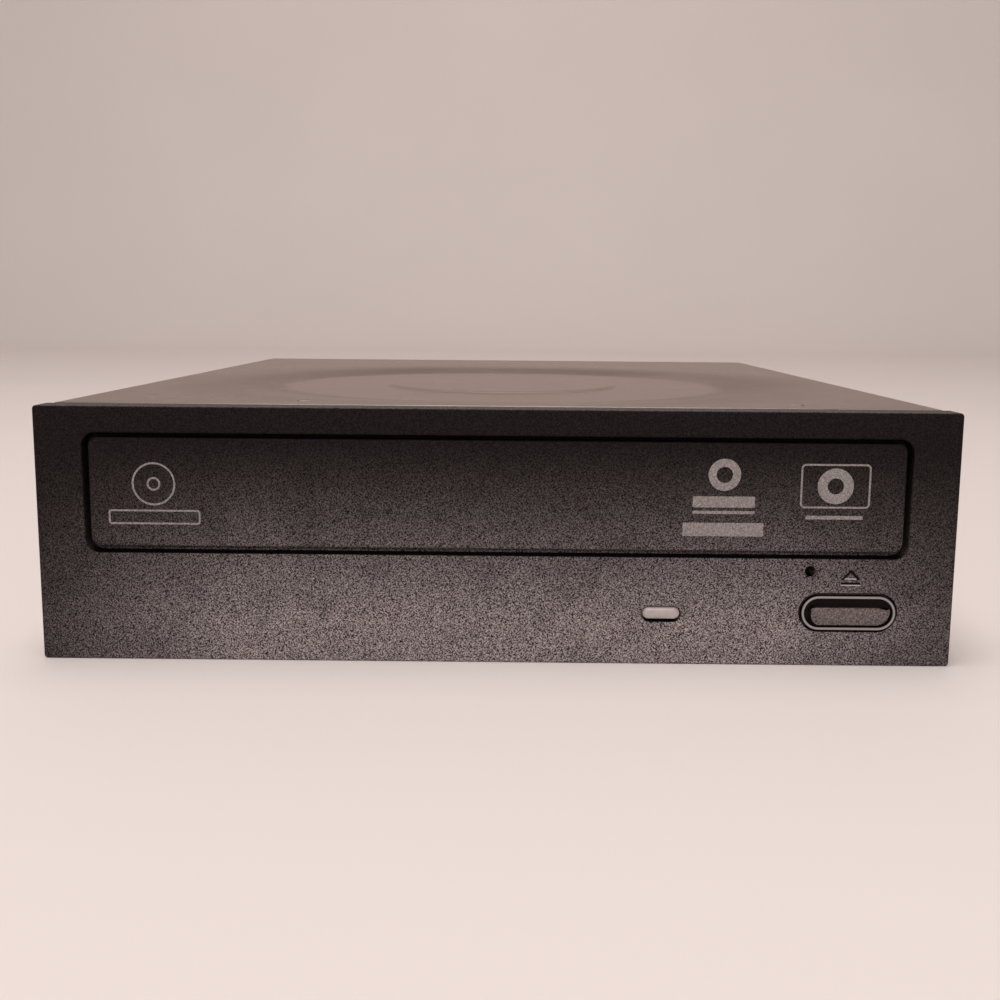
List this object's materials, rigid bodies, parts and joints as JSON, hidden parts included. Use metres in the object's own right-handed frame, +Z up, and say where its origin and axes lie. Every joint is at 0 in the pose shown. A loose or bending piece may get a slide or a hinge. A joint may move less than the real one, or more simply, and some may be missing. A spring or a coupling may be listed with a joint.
{
  "type": "internal optical disc drive",
  "caption": "Half-height internal disc writer: a steel case with a black front, a sliding disc tray behind its door, an eject button and a lamp.",
  "frame": {"origin": "the middle of the four mounting holes in the underside, on the plane of the underside", "axes": "+X to the right seen from the front, +Y into the drive, from the bezel to the back, +Z up"},
  "size_m": [0.148, 0.1754, 0.0416],
  "materials": {
    "plated_steel": "zinc plated sheet, semi-gloss",
    "black_textured": "spark-eroded moulded ABS",
    "button_black": "polished rim, fine hollow",
    "lamp_milky": "milky light guide",
    "frame_black": "moulded, fine matt",
    "tray_black": "moulded, fine matt",
    "gear_white": "acetal",
    "bright_steel": "ground or nickel plated",
    "board_green": "solder mask",
    "chip_black": "moulded epoxy",
    "capacitor_alloy": "plain can",
    "black_rubber": "soft matt rubber",
    "gilt_contact": "gilt strip",
    "grey_magnet": "nickel plated magnet",
    "lens_clear": "coated lens",
    "ivory_plastic": "moulded",
    "ribbon_white": "flat flexible cable",
    "socket_black": "moulded nylon",
    "copper_winding": "steel core with enamelled copper",
    "housing_alloy": "die-cast, as cast"
  },
  "bodies": {
    "root": {"bottom_case": "plated_steel", "top_cover": "plated_steel", "front_bezel": "black_textured", "lamp_lens": "lamp_milky", "loading_motor": "bright_steel", "loading_belt": "black_rubber", "loader_frame": "frame_black", "clamp_bridge": "plated_steel", "case_screws": "bright_steel", "bridge_screws": "bright_steel", "front_board": "board_green", "eject_switch": "chip_black", "status_lamp": "lamp_milky", "tray_switch": "chip_black", "main_board": "board_green", "controller_chip": "chip_black", "motor_driver_chip": "chip_black", "board_capacitors": "capacitor_alloy", "ribbon_sockets": "ivory_plastic", "rear_connector": "socket_black", "connector_contacts": "gilt_contact", "front_ribbon": "ribbon_white", "pickup_ribbon": "ribbon_white"},
    "tray": {"disc_tray": "tray_black", "tray_door": "black_textured"},
    "tray_gear_body": {"tray_gear": "gear_white"},
    "pulley_gear_body": {"pulley_gear": "gear_white"},
    "motor_pulley_body": {"motor_pulley": "bright_steel"},
    "cam": {"cam_slider": "gear_white"},
    "traverse": {"traverse_holder": "frame_black", "traverse_plate": "plated_steel", "damper_grommets": "black_rubber", "damper_screws": "bright_steel", "main_guide_rod": "bright_steel", "side_guide_rod": "bright_steel", "rod_clamps": "ivory_plastic", "spindle_base": "plated_steel", "spindle_stator": "copper_winding", "sled_motor": "bright_steel", "sled_bracket": "plated_steel"},
    "spindle": {"turntable": "bright_steel", "rotor_magnet": "grey_magnet", "turntable_mat": "black_rubber", "centring_cone": "ivory_plastic", "spindle_shaft": "bright_steel"},
    "lead_screw_body": {"lead_screw": "bright_steel"},
    "sled": {"pickup_housing": "housing_alloy", "pickup_cover": "bright_steel", "rack_nut": "ivory_plastic", "laser_diodes": "gilt_contact", "lens_magnets": "grey_magnet", "lens_suspension": "ivory_plastic"},
    "lens": {"lens_holder": "chip_black", "objective_lens": "lens_clear"},
    "clamper": {"clamper_body": "ivory_plastic", "clamper_magnet": "grey_magnet", "clamper_yoke": "bright_steel"},
    "button": {"eject_button": "button_black", "switch_plunger": "ivory_plastic"}
  },
  "joints": [
    {"name": "tray_slide", "type": "slide", "parent": "root", "child": "tray", "axis": [0, -1, 0], "range_m": [0, 0.137]},
    {"name": "tray_gear_spin", "type": "hinge", "parent": "root", "child": "tray_gear_body", "pos_m": [-0.04688, -0.07002, 0.013], "axis": [0, 0, 1], "range_deg": [0, 786]},
    {"name": "pulley_gear_spin", "type": "hinge", "parent": "root", "child": "pulley_gear_body", "pos_m": [-0.02816, -0.07002, 0.013], "axis": [0, 0, 1], "range_deg": [-3272, 0]},
    {"name": "motor_pulley_spin", "type": "hinge", "parent": "root", "child": "motor_pulley_body", "pos_m": [-0.002, -0.07002, 0.018], "axis": [0, 0, 1], "range_deg": [-14090, 0]},
    {"name": "traverse_tilt", "type": "hinge", "parent": "root", "child": "traverse", "pos_m": [0, 0.06098, 0.018], "axis": [-1, 0, 0], "range_deg": [0, 4.56]},
    {"name": "cam_slide", "type": "slide", "parent": "root", "child": "cam", "axis": [1, 0, 0], "range_m": [0, 0.012]},
    {"name": "sled_slide", "type": "slide", "parent": "traverse", "child": "sled", "axis": [0, 0.9968, 0.0795], "range_m": [0, 0.035], "deforming": ["pickup_ribbon"]},
    {"name": "lead_screw_spin", "type": "hinge", "parent": "traverse", "child": "lead_screw_body", "pos_m": [0.0325, 0.02326, 0.01299], "axis": [0, 0.9968, 0.0795], "range_deg": [0, 4201]},
    {"name": "lens_focus", "type": "slide", "parent": "sled", "child": "lens", "axis": [0, -0.0795, 0.9968], "range_m": [-0.0006, 0.0006], "stiffness_N_per_m": 40},
    {"name": "spindle_spin", "type": "hinge", "parent": "traverse", "child": "spindle", "pos_m": [0, -0.02273, 0.02356], "axis": [0, -0.0795, 0.9968], "continuous": true},
    {"name": "clamper_spin", "type": "hinge", "parent": "root", "child": "clamper", "pos_m": [0, -0.02202, 0.036], "axis": [0, 0, 1], "continuous": true},
    {"name": "button_press", "type": "slide", "parent": "root", "child": "button", "axis": [0, 1, 0], "range_m": [0, 0.0012], "stiffness_N_per_m": 1000, "springref_m": -0.0008}
  ],
  "couplings": [
    {"joint": "tray_gear_spin", "follows": "tray_slide", "rad_per_m": 100},
    {"joint": "pulley_gear_spin", "follows": "tray_slide", "rad_per_m": -416.67},
    {"joint": "motor_pulley_spin", "follows": "tray_slide", "rad_per_m": -1794.9},
    {"joint": "cam_slide", "follows": "traverse_tilt", "m_per_rad": 0.15078},
    {"joint": "lead_screw_spin", "follows": "sled_slide", "rad_per_m": 2094.4},
    {"joint": "clamper_spin", "follows": "spindle_spin", "ratio": 1}
  ]
}
